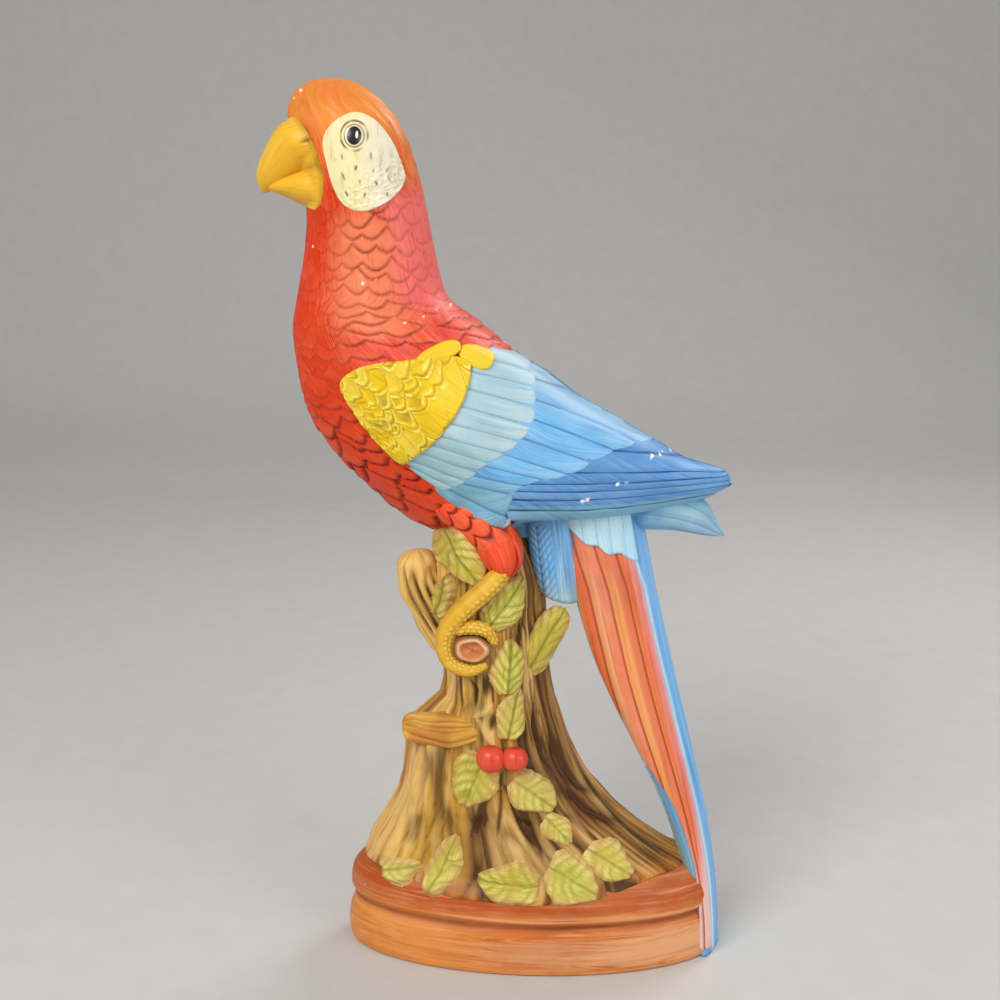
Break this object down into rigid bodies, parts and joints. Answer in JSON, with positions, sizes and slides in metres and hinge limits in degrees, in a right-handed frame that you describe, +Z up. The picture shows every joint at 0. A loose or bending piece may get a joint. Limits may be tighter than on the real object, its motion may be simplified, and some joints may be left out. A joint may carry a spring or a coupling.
{
  "type": "ceramic parrot figurine",
  "caption": "Hand-painted earthenware macaw perched on a leafy tree stump on an oval plinth with two rings, a free-standing ornament.",
  "frame": {"origin": "middle of the plinth's underside", "axes": "+Z up, -X the way the bird faces, -Y the bird's left side"},
  "size_m": [0.1791, 0.0708, 0.3302],
  "materials": {
    "plinth": "russet paint, brushed on and sealed semi-gloss",
    "bark": "tan bark paint, dark in the furrows, semi-gloss",
    "scarlet": "scarlet feather paint, dry-brushed, semi-gloss",
    "orange": "orange-red tail paint, semi-gloss",
    "horn": "yellow beak paint, semi-gloss",
    "cream": "cream face paint, satin",
    "eye": "gloss black eye paint",
    "yellow": "yellow feather paint, semi-gloss",
    "sky": "light blue feather paint, semi-gloss",
    "blue": "blue feather paint, semi-gloss",
    "navy": "dark blue feather paint, semi-gloss",
    "toe": "ochre foot paint, semi-gloss",
    "leaf": "yellow-green leaf paint, semi-gloss",
    "berry": "gloss red berry paint"
  },
  "bodies": {
    "root": {"base_plinth": "plinth", "body_shell": "scarlet", "left_berry_front": "berry", "left_berry_rear": "berry", "left_eye": "eye", "left_face_patch": "cream", "left_foot": "toe", "left_knot": "bark", "left_leaf_1": "leaf", "left_leaf_10": "leaf", "left_leaf_11": "leaf", "left_leaf_12": "leaf", "left_leaf_13": "leaf", "left_leaf_2": "leaf", "left_leaf_3": "leaf", "left_leaf_4": "leaf", "left_leaf_5": "leaf", "left_leaf_6": "leaf", "left_leaf_7": "leaf", "left_leaf_8": "leaf", "left_leaf_9": "leaf", "left_primaries": "navy", "left_secondaries": "blue", "left_shoulder_coverts": "yellow", "left_tail_feathers": "orange", "left_thigh": "scarlet", "left_wing_coverts": "sky", "lower_beak": "horn", "lower_branch_stub": "bark", "right_berry_front": "berry", "right_berry_rear": "berry", "right_eye": "eye", "right_face_patch": "cream", "right_foot": "toe", "right_knot": "bark", "right_leaf_1": "leaf", "right_leaf_10": "leaf", "right_leaf_11": "leaf", "right_leaf_12": "leaf", "right_leaf_3": "leaf", "right_leaf_4": "leaf", "right_leaf_5": "leaf", "right_leaf_6": "leaf", "right_leaf_7": "leaf", "right_leaf_9": "leaf", "right_primaries": "navy", "right_secondaries": "blue", "right_shoulder_coverts": "yellow", "right_tail_feathers": "orange", "right_thigh": "scarlet", "right_wing_coverts": "sky", "rump_plume": "sky", "side_leaf": "leaf", "tail": "navy", "tree_stump": "bark", "under_tail_coverts": "blue", "upper_beak": "horn", "upper_branch_stub": "bark"}
  },
  "joints": []
}
